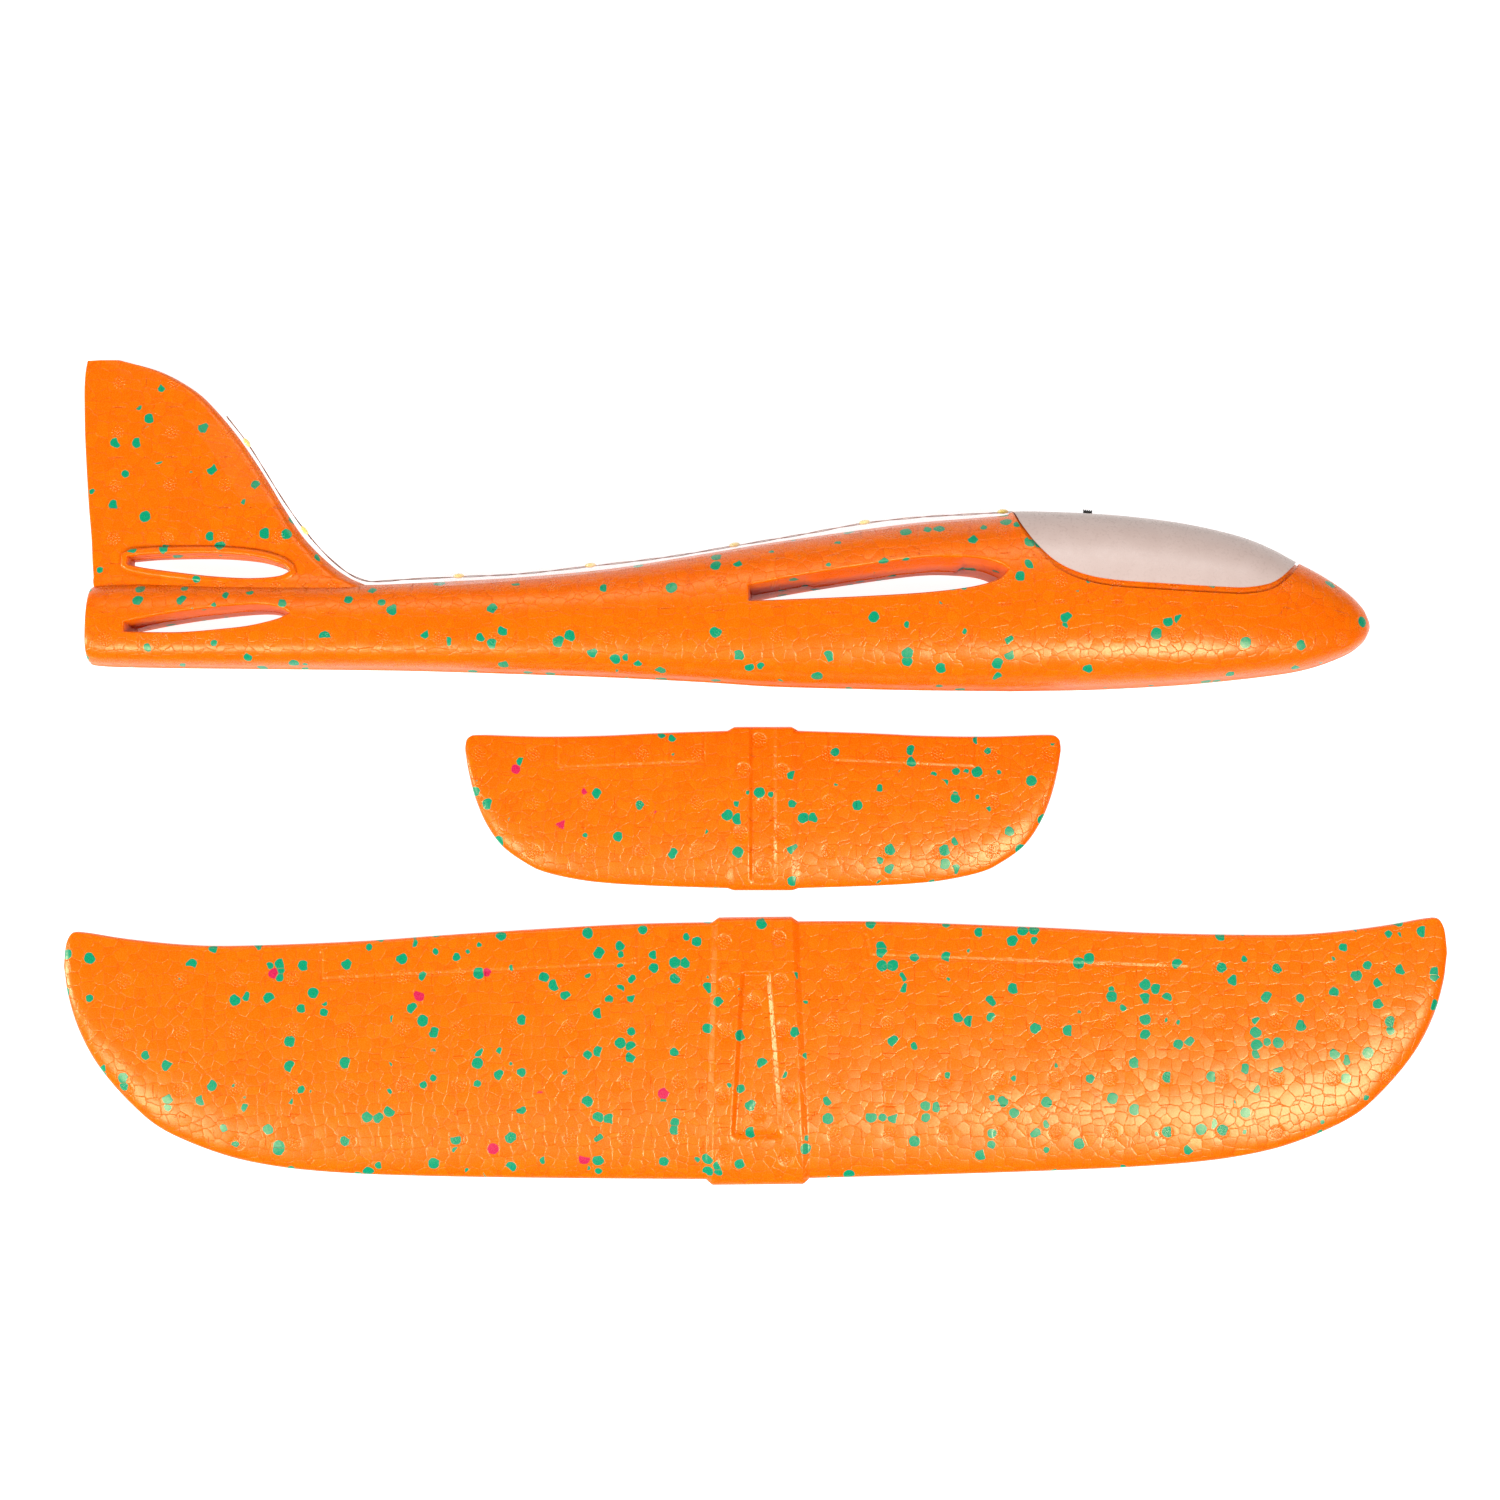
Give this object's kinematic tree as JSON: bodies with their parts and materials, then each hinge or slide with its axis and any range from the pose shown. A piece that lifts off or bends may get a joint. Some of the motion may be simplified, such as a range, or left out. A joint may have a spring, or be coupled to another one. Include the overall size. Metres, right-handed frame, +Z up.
{
  "type": "foam hand glider kit",
  "caption": "Unassembled bead-foam throw glider: fuselage with fin, slots, canopy and light string, plus separate wing and tailplane.",
  "frame": {"origin": "centre of the laid-out kit, on the surface it lies on", "axes": "+X towards the nose along the wing span, +Y towards the fin tip, +Z up from the surface"},
  "size_m": [0.4791, 0.2898, 0.0391],
  "materials": {
    "foam": "satin",
    "milky_shell": "satin",
    "black_plastic": "satin",
    "grey_plastic": "satin",
    "steel": "satin",
    "brass": "satin",
    "board": "satin",
    "pad_foam": "matte",
    "copper_wire": "gloss",
    "light_drop": "gloss",
    "clear_film": "gloss"
  },
  "bodies": {
    "airframe": {"fuselage": "foam", "nose_weight": "steel", "battery_box": "grey_plastic", "battery_lid": "grey_plastic", "lid_screw": "steel", "button_cell_1": "steel", "button_cell_2": "steel", "button_cell_3": "steel", "contact_rear": "brass", "contact_front": "brass", "contact_spring": "brass", "circuit_board": "board", "switch_body": "steel", "box_pad": "pad_foam", "light_wire": "copper_wire", "light_1": "light_drop", "light_2": "light_drop", "light_3": "light_drop", "light_4": "light_drop", "light_5": "light_drop", "light_6": "light_drop", "light_7": "light_drop", "light_8": "light_drop", "spine_tape": "clear_film", "fin_tape": "clear_film"},
    "canopy_shell": {"canopy": "milky_shell"},
    "switch_slider": {"switch_knob": "black_plastic"},
    "wing_panel": {"wing": "foam"},
    "tail_panel": {"tailplane": "foam"}
  },
  "joints": [
    {"name": "canopy_lift", "type": "slide", "parent": "airframe", "child": "canopy_shell", "axis": [0.0018, 0.9903, -0.1392], "range_m": [0, 0.035]},
    {"name": "switch_slide", "type": "slide", "parent": "airframe", "child": "switch_slider", "axis": [0.9933, -0.1121, 0.0284], "range_m": [0, 0.002]},
    {"name": "wing_lift", "type": "slide", "parent": "airframe", "child": "wing_panel", "axis": [0, 0, 1], "range_m": [0, 0.08]},
    {"name": "tailplane_lift", "type": "slide", "parent": "airframe", "child": "tail_panel", "axis": [0, 0, 1], "range_m": [0, 0.08]}
  ]
}
